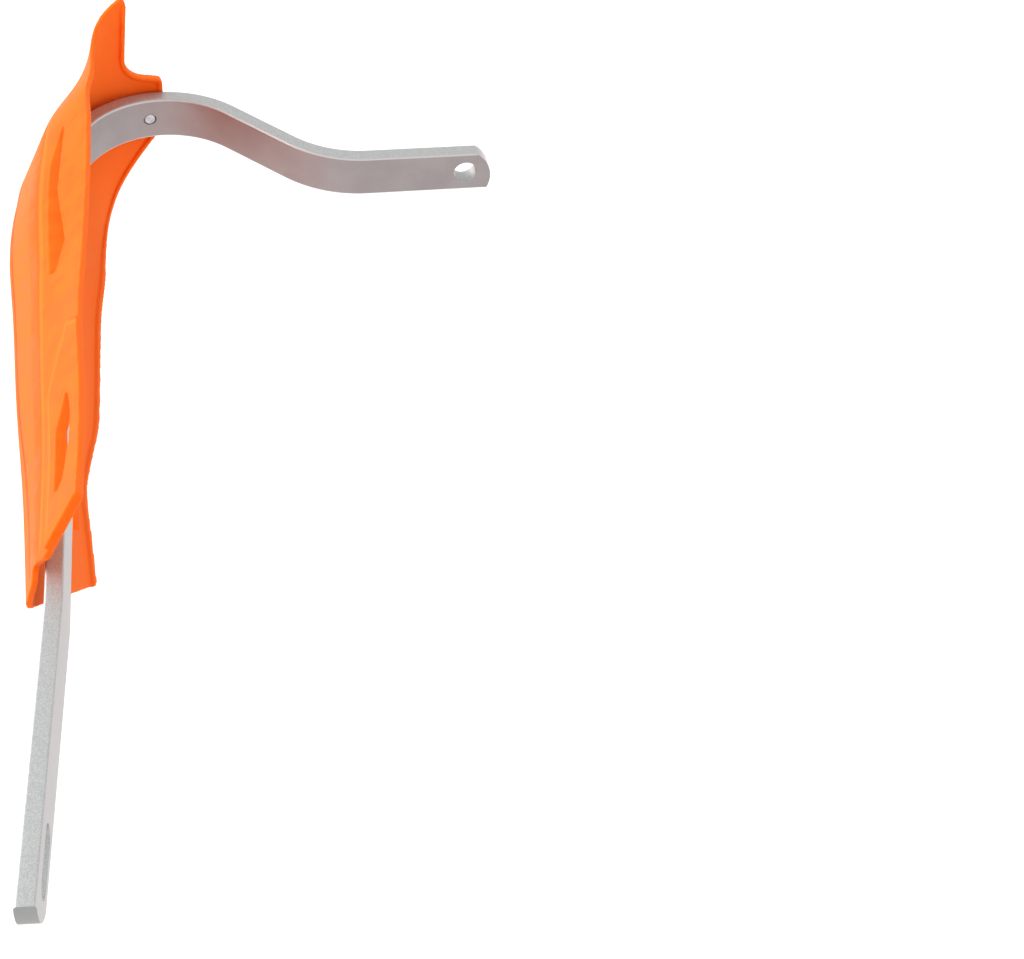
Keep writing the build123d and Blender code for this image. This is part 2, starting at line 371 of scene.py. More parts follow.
# Painted shade: dark orange of the shade in hollows and of the shade lines on the crease and the panel's
# rim; also of the groove's dark line.
LINE_AND_SHADE_ORANGE: Colour = (0.55, 0.055, 0.0, 1.0)
# Painted highlight: light orange beside the crease and just inside the panel's rim.
HIGHLIGHT_ORANGE: Colour = (1.0, 0.215, 0.015, 1.0)
# Painted shade: the deeper orange of the band below the crease stands in for the weaker sheen there.
LOW_SHEEN_BAND_ORANGE: Colour = (1.0, 0.112, 0.0, 1.0)

CREASE = SlopingLine(
    ends=(-191 * MILLIMETRE, -60 * MILLIMETRE),
    heights=(14 * MILLIMETRE, 20.5 * MILLIMETRE),
    # Painted light along the crease: a deeper band below it for weaker sheen, a highlight above it and a
    # shade line on it.
    marks=(
        Mark((-6 * MILLIMETRE, 0.0), 2 * MILLIMETRE, 1.0, LOW_SHEEN_BAND_ORANGE),
        Mark((1.2 * MILLIMETRE, 2.4 * MILLIMETRE), 0.6 * MILLIMETRE, 0.6, HIGHLIGHT_ORANGE),
        Mark((0.0, 0.6 * MILLIMETRE), 0.2 * MILLIMETRE, 0.5, LINE_AND_SHADE_ORANGE),
    ),
)
# A dark line along a shallow groove, low on the outer face.
GROOVE_LINE = SlopingLine(
    ends=(-168 * MILLIMETRE, -115 * MILLIMETRE),
    heights=(2 * MILLIMETRE, -2.5 * MILLIMETRE),
    marks=(Mark((0.0, 1.5 * MILLIMETRE), 0.375 * MILLIMETRE, 0.85, LINE_AND_SHADE_ORANGE),),
)


@dataclass(frozen=True)
class RaisedPanel:
    """Outline of the shield's raised panel: points along the bar from a station, and up."""

    station: float = 362 * MILLIMETRE
    corners: tuple[Span, ...] = (
        (-42 * MILLIMETRE, 60 * MILLIMETRE),
        (-58.5 * MILLIMETRE, 35.5 * MILLIMETRE),
        (-36 * MILLIMETRE, 22.8 * MILLIMETRE),
        (40 * MILLIMETRE, 21.5 * MILLIMETRE),
    )
    # Painted light round the panel: a highlight just inside its rim and a shade line along the rim.
    marks: tuple[Mark, ...] = (
        Mark((1.0 * MILLIMETRE, 2.0 * MILLIMETRE), 0.25 * MILLIMETRE, 0.6, HIGHLIGHT_ORANGE),
        Mark((-0.7 * MILLIMETRE, 0.5 * MILLIMETRE), 0.25 * MILLIMETRE, 0.55, LINE_AND_SHADE_ORANGE),
    )

    def depth(self, graph: NodeGraph) -> Socket:
        """How far inside the outline a point lies.

        Args:
            graph: the material.

        Returns:
            The distance to the nearest edge of the panel, in metres, below 0 outside it.
        """
        here, place = graph.here(), BarRoute().place(self.station)
        depths = []
        for start, end in zip(self.corners, self.corners[1:]):
            along = (Vector(end) - Vector(start)).normalized()
            inward = place.to_3x3() @ Vector((-along.y, along.x, 0.0))
            reach = graph.add("ShaderNodeVectorMath", {0: here, 1: inward}, operation="DOT_PRODUCT")
            corner = place @ Vector((*start, 0.0))
            depths.append(graph.maths("SUBTRACT", reach.outputs["Value"], inward.dot(corner)))
        nearest = depths[0]
        for depth in depths[1:]:
            nearest = graph.maths("MINIMUM", nearest, depth)
        return nearest


@dataclass(frozen=True)
class MouldedOrange:
    """Satin orange plastic as it comes out of a mould. A little light soaks through its thin wall."""

    name: str = "moulded_orange"
    colour: Colour = (1.0, 0.128, 0.005, 1.0)
    warm_colour: Colour = (1.0, 0.150, 0.009, 1.0)
    # Painted sheen: faces turned toward the hand are painted a lighter orange, standing in for the
    # reflection on them.
    hand_side_sheen_colour: Colour = (1.0, 0.170, 0.020, 1.0)
    hand_side_sheen_facing: Span = (-0.3, 0.1)
    outer_front: Span = (0.0, 0.2)
    horn_fade: Span = (0.0, 25 * MILLIMETRE)
    nose_fade: Span = (-188 * MILLIMETRE, -182 * MILLIMETRE)
    panel: RaisedPanel = field(default_factory=RaisedPanel)
    roughness: Span = (0.42, 0.52)
    refraction: float = 1.49
    sheen_level: float = 0.045
    glow_share: float = 0.25
    glow_reach: float = 3 * MILLIMETRE
    glow_spread: Triple = (1.0, 0.25, 0.06)
    shade_reach: float = 1.6 * MILLIMETRE
    shade_limits: Span = (0.35, 0.95)
    shade_results: Span = (0.45, 0.0)
    flow_size: float = 7 * MILLIMETRE
    flow_detail: float = 2.0
    flow_stretch: Triple = (1.0, 0.28, 1.0)
    flow_turn: Triple = (0.0, 0.35, 0.75)
    flow_limits: Span = (0.35, 0.65)
    gloss_limits: Span = (0.3, 0.7)
    grain_size: float = 0.55 * MILLIMETRE
    grain_depth: float = 0.05 * MILLIMETRE
    grain_strength: float = 0.12
    groove_depth: float = 2.0
    edge: float = 0.3 * MILLIMETRE

    def outer_face(self, graph: NodeGraph) -> Socket:
        """Share of the outer face, between the nose and the horn.

        Args:
            graph: the material.

        Returns:
            1 there and 0 elsewhere.
        """
        outboard = graph.spot("X")
        short_of_horn = graph.ramp(outboard, self.horn_fade, FALLING)
        between = graph.maths("MULTIPLY", short_of_horn, graph.ramp(outboard, self.nose_fade))
        return graph.maths("MULTIPLY", between, graph.ramp(graph.facing("Y"), self.outer_front))

    def marked(self, graph: NodeGraph, colour: Socket, outer: Socket) -> Socket:
        """Draw the painted band, highlights and shade lines along the crease and round the panel, and the
        groove's dark line.

        Args:
            graph: the material.
            colour: the plain colour.
            outer: share of the outer face.

        Returns:
            The colour with its lines.
        """
        lines = (
            (CREASE.above(graph), CREASE.marks),
            (self.panel.depth(graph), self.panel.marks),
            (GROOVE_LINE.above(graph), GROOVE_LINE.marks),
        )
        for distance, marks in lines:
            for mark in marks:
                share = graph.maths("MULTIPLY", graph.stripe(distance, mark.span, mark.soft), outer)
                colour = graph.blend(graph.maths("MULTIPLY", share, mark.strength), colour, mark.colour)
        return colour

    def material(self) -> bpy.types.Material:
        """Build the finish.

        Returns:
            The material.
        """
        graph = NodeGraph(self.name)
        inputs = {"Vector": graph.here(), "Scale": self.flow_stretch, "Rotation": self.flow_turn}
        drift = graph.add("ShaderNodeMapping", inputs).outputs["Vector"]
        flow = graph.noise(drift, self.flow_size, self.flow_detail)
        outer = self.outer_face(graph)
        colour = graph.blend(graph.ramp(flow, self.flow_limits), self.colour, self.warm_colour)
        # Painted sheen: faces turned toward the hand take the lighter orange.
        inner = graph.ramp(graph.facing("Y"), self.hand_side_sheen_facing, FALLING)
        colour = self.marked(graph, graph.blend(inner, colour, self.hand_side_sheen_colour), outer)
        # Painted shade: corners and hollows are darkened toward the dark line orange.
        inputs = {"Distance": self.shade_reach}
        clear = graph.add("ShaderNodeAmbientOcclusion", inputs, samples=RAY_SAMPLES).outputs["AO"]
        shade = graph.ramp(clear, self.shade_limits, self.shade_results)
        graph.dress({
            "Base Color": graph.blend(shade, colour, LINE_AND_SHADE_ORANGE),
            "Roughness": graph.ramp(flow, self.gloss_limits, self.roughness),
            "IOR": self.refraction,
            "Specular IOR Level": self.sheen_level,
            "Subsurface Weight": self.glow_share,
            "Subsurface Radius": self.glow_spread,
            "Subsurface Scale": self.glow_reach,
        })
        mark = GROOVE_LINE.marks[0]
        groove = graph.maths("MULTIPLY", graph.stripe(GROOVE_LINE.above(graph), mark.span, mark.soft), outer)
        groove = graph.maths("MULTIPLY", groove, self.groove_depth)
        height = graph.maths("SUBTRACT", graph.noise(graph.here(), self.grain_size), groove)
        graph.relief(height, self.grain_depth, self.grain_strength, self.edge)
        return graph.material


@dataclass(frozen=True)
class TumbledAluminium:
    """Bare aluminium bar: drawn smooth on wide faces, grainy on narrow ones, with painted edge highlights.
    """

    name: str = "tumbled_aluminium"
    colour: Colour = (0.53, 0.515, 0.515, 1.0)
    # Painted reflection of shade: the wide faces turn darker and pinker toward the bent part.
    reflected_shade_colour: Colour = (0.36, 0.315, 0.315, 1.0)
    dark_colour: Colour = (0.46, 0.47, 0.465, 1.0)
    bright_colour: Colour = (0.57, 0.58, 0.575, 1.0)
    # Painted highlight along the bar's rounded edges.
    wear_and_highlight_colour: Colour = (0.64, 0.61, 0.605, 1.0)
    cut_colour: Colour = (0.34, 0.34, 0.335, 1.0)
    reflected_shade_span: Span = (-160 * MILLIMETRE, 0.0)
    narrow_face: Span = (0.55, 0.85)
    highlight_rise: Span = (0.10, 0.35)
    highlight_fall: Span = (0.65, 0.90)
    cut_face: Span = (0.6, 0.9)
    cut_end: Span = (-291 * MILLIMETRE, -284 * MILLIMETRE)
    roughness: Span = (0.52, 0.58)
    fleck_size: float = 0.34 * MILLIMETRE
    fleck_detail: float = 2.0
    fleck_limits: Span = (0.36, 0.64)
    cloud_size: float = 14 * MILLIMETRE
    cloud_limits: Span = (0.3, 0.7)
    cloud_results: Span = (0.0, 0.25)
    grain_share: Span = (0.15, 1.0)
    grain_depth: float = 0.09 * MILLIMETRE
    grain_strength: float = 0.2
    edge: float = 0.35 * MILLIMETRE

    def wide_faces(self, graph: NodeGraph) -> Socket:
        """Cloudy colour of the wide faces, with a painted reflection of shade darker toward the bent part.

        Args:
            graph: the material.

        Returns:
            The colour.
        """
        # Painted reflection of shade, growing toward the bent part.
        bent = graph.ramp(graph.spot("X"), self.reflected_shade_span)
        drawn = graph.blend(bent, self.colour, self.reflected_shade_colour)
        cloud = graph.noise(graph.here(), self.cloud_size)
        return graph.blend(graph.ramp(cloud, self.cloud_limits, self.cloud_results), drawn, self.dark_colour)

    def cut_share(self, graph: NodeGraph) -> Socket:
        """Share of the leg's cut end.

        Args:
            graph: the material.

        Returns:
            1 there and 0 elsewhere.
        """
        across = graph.ramp(graph.maths("ABSOLUTE", graph.facing("X")), self.cut_face)
        return graph.maths("MULTIPLY", across, graph.ramp(graph.spot("X"), self.cut_end, FALLING))

    def material(self) -> bpy.types.Material:
        """Build the finish.

        Returns:
            The material.
        """
        graph = NodeGraph(self.name)
        fleck = graph.noise(graph.here(), self.fleck_size, self.fleck_detail)
        steep = graph.maths("ABSOLUTE", graph.facing("Z"))
        narrow = graph.ramp(steep, self.narrow_face)
        specks = graph.blend(graph.ramp(fleck, self.fleck_limits), self.dark_colour, self.bright_colour)
        colour = graph.blend(narrow, self.wide_faces(graph), specks)
        # Painted highlight: the rounded edges, between flat and upright faces, are lightened.
        rise = graph.ramp(steep, self.highlight_rise)
        edge_highlight = graph.maths("MULTIPLY", rise, graph.ramp(steep, self.highlight_fall, FALLING))
        colour = graph.blend(edge_highlight, colour, self.wear_and_highlight_colour)
        graph.dress({
            "Base Color": graph.blend(self.cut_share(graph), colour, self.cut_colour),
            "Metallic": 1.0,
            "Roughness": graph.ramp(narrow, RISING, self.roughness),
        })
        height = graph.maths("MULTIPLY", fleck, graph.ramp(narrow, RISING, self.grain_share))
        graph.relief(height, self.grain_depth, self.grain_strength, self.edge)
        return graph.material


@dataclass(frozen=True)
class PlatedSteel:
    """Zinc-plated steel of the small fasteners."""

    name: str = "plated_steel"
    colour: Colour = (0.56, 0.565, 0.58, 1.0)
    dull_colour: Colour = (0.40, 0.405, 0.42, 1.0)
    roughness: Span = (0.22, 0.38)
    cloud_size: float = 2.2 * MILLIMETRE
    colour_limits: Span = (0.35, 0.65)
    gloss_limits: Span = (0.3, 0.7)
    grain_size: float = 0.3 * MILLIMETRE
    grain_depth: float = 0.02 * MILLIMETRE
    grain_strength: float = 0.25
    edge: float = 0.15 * MILLIMETRE

    def material(self) -> bpy.types.Material:
        """Build the finish.

        Returns:
            The material.
        """
        graph = NodeGraph(self.name)
        cloud = graph.noise(graph.here(), self.cloud_size)
        graph.dress({
            "Base Color": graph.blend(graph.ramp(cloud, self.colour_limits), self.colour, self.dull_colour),
            "Metallic": 1.0,
            "Roughness": graph.ramp(cloud, self.gloss_limits, self.roughness),
        })
        grain = graph.noise(graph.here(), self.grain_size)
        graph.relief(grain, self.grain_depth, self.grain_strength, self.edge)
        return graph.material


@dataclass(frozen=True)
class PaleFloor:
    """White studio floor that keeps a soft shadow."""

    name: str = "pale_floor"
    colour: Colour = (0.97, 0.97, 0.97, 1.0)
    wear_and_highlight_colour: Colour = (0.95, 0.95, 0.95, 1.0)
    patch_size: float = 0.6
    patch_limits: Span = (0.3, 0.7)

    def material(self) -> bpy.types.Material:
        """Build the finish.

        Returns:
            The material.
        """
        graph = NodeGraph(self.name)
        share = graph.ramp(graph.noise(graph.here(), self.patch_size), self.patch_limits)
        colour = graph.blend(share, self.colour, self.wear_and_highlight_colour)
        graph.dress({"Base Color": colour, "Roughness": 1.0, "Specular IOR Level": 0.0})
        return graph.material


def select_only(piece: Piece) -> None:
    """Deselect everything, then select one object and make it active.

    Args:
        piece: the object to select.
    """
    bpy.ops.object.select_all(action="DESELECT")
    piece.select_set(True)
    bpy.context.view_layer.objects.active = piece


def merged_copy(node: Node, name: str, smooth_angle: float, merge_distance: float) -> Piece:
    """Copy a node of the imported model, join its loose triangles and smooth its curved faces.

    Args:
        node: the node to copy.
        name: name of the copy.
        smooth_angle: edges sharper than this stay sharp, in radians.
        merge_distance: corners nearer than this become one.

    Returns:
        The copy, with a mesh of its own.
    """
    select_only(frame["nodes"][node.value])
    bpy.ops.object.duplicate()
    piece = bpy.context.active_object
    piece.name = name
    piece.data.name = name
    piece.data.materials.clear()
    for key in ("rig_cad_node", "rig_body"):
        if key in piece:
            del piece[key]
    bpy.ops.object.mode_set(mode="EDIT")
    bpy.ops.mesh.select_all(action="SELECT")
    bpy.ops.mesh.remove_doubles(threshold=merge_distance)
    bpy.ops.object.mode_set(mode="OBJECT")
    bpy.ops.object.shade_smooth_by_angle(angle=smooth_angle)
    return piece


def settle(piece: Piece, material: bpy.types.Material, stands_for: Iterable[Node]) -> None:
    """Give a piece its finish, its body and the nodes that it stands for.

    Args:
        piece: the finished piece.
        material: its material.
        stands_for: nodes that are hidden behind it.
    """
    piece.data.materials.clear()
    piece.data.materials.append(material)
    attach(piece, ROOT_BODY)
    for node in stands_for:
        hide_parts(node.value)
    LOG.info("piece %s: %d faces", piece.name, len(piece.data.polygons))


def apply_modifier(piece: Piece, kind: str, **settings: object) -> None:
    """Add one modifier to a piece and apply it.

    Args:
        piece: the piece to change.
        kind: Blender's name of the modifier type.
        settings: attributes of the modifier.
    """
    select_only(piece)
    bpy.ops.object.modifier_add(type=kind)
    modifier = piece.modifiers[-1]
    for key, value in settings.items():
        setattr(modifier, key, value)
    bpy.ops.object.modifier_apply(modifier=modifier.name)


def finish_edges(piece: Piece, width: float, sharp_angle: float, steps: int = 2) -> None:
    """Break the sharp edges of a piece and shade its faces smoothly.

    Args:
        piece: the piece to finish.
        width: width of the break.
        sharp_angle: edges sharper than this are broken, in radians.
        steps: facets across the break.
    """
    settings = {"width": width, "segments": steps, "limit_method": "ANGLE", "angle_limit": sharp_angle}
    apply_modifier(piece, "BEVEL", **settings)
    bpy.ops.object.shade_smooth_by_angle(angle=sharp_angle)
    apply_modifier(piece, "WEIGHTED_NORMAL", keep_sharp=True)


def round_outline(radius: float, steps: int = 64) -> Outline:
    """Points of a circle.

    Args:
        radius: its radius.
        steps: number of points.

    Returns:
        The points, in order.
    """
    angles = [2 * pi * n / steps for n in range(steps)]
    return [(radius * cos(angle), radius * sin(angle)) for angle in angles]


def slot_outline(length: float, width: float, steps: int = 24) -> Outline:
    """Points of a slot with round ends.

    Args:
        length: its length over all.
        width: its width.
        steps: steps in each round end.

    Returns:
        The points, in order.
    """
    radius, reach = width / 2, (length - width) / 2
    points = []
    for side in (1, -1):
        for n in range(steps + 1):
            angle = -pi / 2 + pi * n / steps
            points.append((side * (reach + radius * cos(angle)), side * radius * sin(angle)))
    return points


def waste_outline(radius: float, lift: float, facing: int, steps: int = 40) -> Outline:
    """Points of what is cut away past the arc of a bar end.

    Args:
        radius: radius of the arc.
        lift: height of the arc's centre.
        facing: 1 where the bar ends along its direction, and -1 where it ends against it.
        steps: steps in the arc.

    Returns:
        The points, in order.
    """
    far, points = 2 * radius, []
    for n in range(steps + 1):
        angle = pi / 2 - pi * n / steps
        points.append((radius * cos(angle), lift + radius * sin(angle)))
    points += [(0.0, lift - far), (far, lift - far), (far, lift + far), (0.0, lift + far)]
    return [(facing * x, y) for x, y in points]


def cutter(place: Matrix, near: Outline, far: Outline, low: float, high: float) -> Piece:
    """Solid between two outlines that lie across the bar's wide faces.

    Args:
        place: where the bar is there.
        near: outline at the low height.
        far: outline at the high height.
        low: height of the first outline out from the bar's middle.
        high: height of the second outline.

    Returns:
        The solid.
    """
    count = len(near)
    points = [place @ Vector((x, y, low)) for x, y in near] + [place @ Vector((x, y, high)) for x, y in far]
    sides = [(n, (n + 1) % count, count + (n + 1) % count, count + n) for n in range(count)]
    mesh = bpy.data.meshes.new("cutter")
    mesh.from_pydata(points, [], [*sides, tuple(range(count)), tuple(range(count, 2 * count))])
    solid = bpy.data.objects.new("cutter", mesh)
    bpy.context.scene.collection.objects.link(solid)
    select_only(solid)
    bpy.ops.object.mode_set(mode="EDIT")
    bpy.ops.mesh.select_all(action="SELECT")
    bpy.ops.mesh.normals_make_consistent(inside=False)
    bpy.ops.object.mode_set(mode="OBJECT")
    return solid


def cut_away(piece: Piece, solid: Piece) -> None:
    """Cut a solid out of a piece, and drop the solid. The manifold solver gives the same mesh each run.

    Args:
        piece: the piece to cut.
        solid: what is cut away.
    """
    apply_modifier(piece, "BOOLEAN", object=solid, operation="DIFFERENCE", solver="MANIFOLD")
    bpy.data.objects.remove(solid)


@dataclass
class GuardBar:
    """The bent flat bar, drawn out along its route and then drilled."""

    finish: TumbledAluminium = field(default_factory=TumbledAluminium)
    route: BarRoute = field(default_factory=BarRoute)
    thickness: float = BAR_THICKNESS
    height: float = 18 * MILLIMETRE
    edge: float = 0.9 * MILLIMETRE
    edge_steps: int = 4
    bend_step: float = radians(1.5)
    least_steps: int = 2
    waste: float = 2 * MILLIMETRE
    tab_reach: float = 10.7 * MILLIMETRE
    tab_end: Span = (14.3 * MILLIMETRE, -3.3 * MILLIMETRE)
    leg_end: Span = (13.5 * MILLIMETRE, 3.5 * MILLIMETRE)
    hole_radius: float = 4.75 * MILLIMETRE
    slot_size: Span = (22 * MILLIMETRE, 9 * MILLIMETRE)
    slot_land: float = 7 * MILLIMETRE
    tapped_radius: float = 2.55 * MILLIMETRE
    sunk_radius: float = 4.8 * MILLIMETRE
    plain_radius: float = 2.8 * MILLIMETRE
    break_size: float = 0.35 * MILLIMETRE
    sharp_angle: float = radians(35)

    def section(self) -> Piece:
        """Lay the bar's rounded section across the start of its route.

        Returns:
            The section, in edit mode and selected.
        """
        start = self.route.place(0.0) @ Matrix.Translation((-self.tab_reach - self.waste, 0.0, 0.0))
        upright = (pi / 2, 0.0, 0.0)
        bpy.ops.object.select_all(action="DESELECT")
        bpy.ops.mesh.primitive_plane_add(size=1.0, location=start.translation, rotation=upright)
        piece = bpy.context.active_object
        piece.name = "bent_bar"
        piece.scale = (self.thickness, self.height, 1.0)
        bpy.ops.object.transform_apply(location=True, rotation=True, scale=True)
        bpy.ops.object.mode_set(mode="EDIT")
        bpy.ops.mesh.select_all(action="SELECT")
        bpy.ops.mesh.bevel(offset=self.edge, segments=self.edge_steps, affect="VERTICES")
        bpy.ops.mesh.select_all(action="SELECT")
        return piece

    def draw_out(self) -> None:
        """Carry the selected section along the route: straight runs are extruded and bends are spun."""
        station = 0.0
        for number, (run, turn) in enumerate(self.route.runs()):
            place = self.route.place(station)
            along = place.to_3x3().col[0]
            if turn:
                centre = place.translation + Vector((-along.y, along.x, 0.0)) * (run / turn)
                steps = max(self.least_steps, round(abs(turn) / self.bend_step))
                bpy.ops.mesh.spin(steps=steps, angle=-turn, center=centre, axis=(0.0, 0.0, 1.0))
            else:
                extra = self.tab_reach + self.waste if number == 0 else 0.0
                extra += self.waste if number == len(self.route.runs()) - 1 else 0.0
                bpy.ops.mesh.extrude_region_move(TRANSFORM_OT_translate={"value": along * (run + extra)})
            station += run
        bpy.ops.mesh.select_all(action="SELECT")
        bpy.ops.mesh.remove_doubles(threshold=MERGE_DISTANCE)
        bpy.ops.mesh.normals_make_consistent(inside=False)
        bpy.ops.object.mode_set(mode="OBJECT")

    def drill(self, piece: Piece) -> None:
        """Shape the ends and make the holes and the slot.

        Args:
            piece: the drawn-out bar.
        """
        through = self.thickness
        end = self.route.length()
        slot_station = end - self.slot_land - self.slot_size[0] / 2
        cuts = (
            (self.tab_end[0] - self.tab_reach, waste_outline(*self.tab_end, facing=-1)),
            (end - self.leg_end[0], waste_outline(*self.leg_end, facing=1)),
            (0.0, round_outline(self.hole_radius)),
            (slot_station, slot_outline(*self.slot_size)),
            (self.route.outer_screw, round_outline(self.tapped_radius)),
            (self.route.inner_screw, round_outline(self.plain_radius)),
        )
        for station, outline in cuts:
            cut_away(piece, cutter(self.route.place(station), outline, outline, -through, through))
        wide = round_outline(self.sunk_radius + self.break_size)
        narrow = round_outline(self.tapped_radius)
        low = -self.thickness / 2 - self.break_size
        high = self.sunk_radius - self.tapped_radius - self.thickness / 2
        cut_away(piece, cutter(self.route.place(self.route.inner_screw), wide, narrow, low, high))

    def build(self) -> None:
        """Model and dress the bar."""
        piece = self.section()
        self.draw_out()
        self.drill(piece)
        finish_edges(piece, self.break_size, self.sharp_angle)
        settle(piece, self.finish.material(), [Node.BAR])


@dataclass
class HandShield:
    """The moulded shield."""

    finish: MouldedOrange = field(default_factory=MouldedOrange)
    route: BarRoute = field(default_factory=BarRoute)
    smooth_angle: float = 0.45
    merge_distance: float = 2 * MERGE_DISTANCE
    facet_size: float = 0.32 * MILLIMETRE
    smooth_share: float = 0.5
    edge_rounds: int = 10
    broad_rounds: int = 200
    broad_limits: Span = (0.07 * MILLIMETRE, 0.18 * MILLIMETRE)
    kept_share: float = 0.15
    lip_station: float = 236 * MILLIMETRE
    lip_size: Triple = (66 * MILLIMETRE, 1.6 * MILLIMETRE, 5.4 * MILLIMETRE)
    lip_corner: Span = (23.8 * MILLIMETRE, -3 * MILLIMETRE)

    def add_lip(self, piece: Piece) -> None:
        """Join the shelf that stands in from the long vent's lower edge.

        The remesh that follows makes it one with the wall.

        Args:
            piece: the merged copy of the shield.
        """
        length, rise, reach = self.lip_size
        low, inner = self.lip_corner
        half, high = length / 2, low + rise
        outline = [(-half, low), (half, low), (half, high), (-half, high)]
        shelf = cutter(self.route.place(self.lip_station), outline, outline, inner, inner + reach)
        select_only(piece)
        shelf.select_set(True)
        bpy.ops.object.join()

    def points(self, piece: Piece) -> np.ndarray:
        """Places of a piece's vertices.

        Args:
            piece: the piece to read.

        Returns:
            One row for each vertex.
        """
        flat = np.empty(3 * len(piece.data.vertices))
        piece.data.vertices.foreach_get("co", flat)
        return flat.reshape(-1, 3)

    def soften(self, piece: Piece) -> None:
        """Give the shield fine, even facets, the soft edges of a moulding and smooth open faces.

        Args:
            piece: the merged copy of the shield.
        """
        apply_modifier(piece, "REMESH", mode="VOXEL", voxel_size=self.facet_size)
        apply_modifier(piece, "SMOOTH", factor=self.smooth_share, iterations=self.edge_rounds)
        edged = self.points(piece)
        apply_modifier(piece, "SMOOTH", factor=self.smooth_share, iterations=self.broad_rounds)
        shift = self.points(piece) - edged
        near, far = self.broad_limits
        share = np.clip((far - np.linalg.norm(shift, axis=1)) / (far - near), 0.0, 1.0)
        piece.data.vertices.foreach_set("co", (edged + shift * share[:, None]).ravel())
        piece.data.update()
        apply_modifier(piece, "DECIMATE", ratio=self.kept_share)
        bpy.ops.object.shade_smooth()

    def build(self) -> None:
        """Model and dress the shield."""
        piece = merged_copy(Node.SHIELD, "moulded_shield", self.smooth_angle, self.merge_distance)
        self.add_lip(piece)
        self.soften(piece)
        settle(piece, self.finish.material(), [Node.SHIELD])


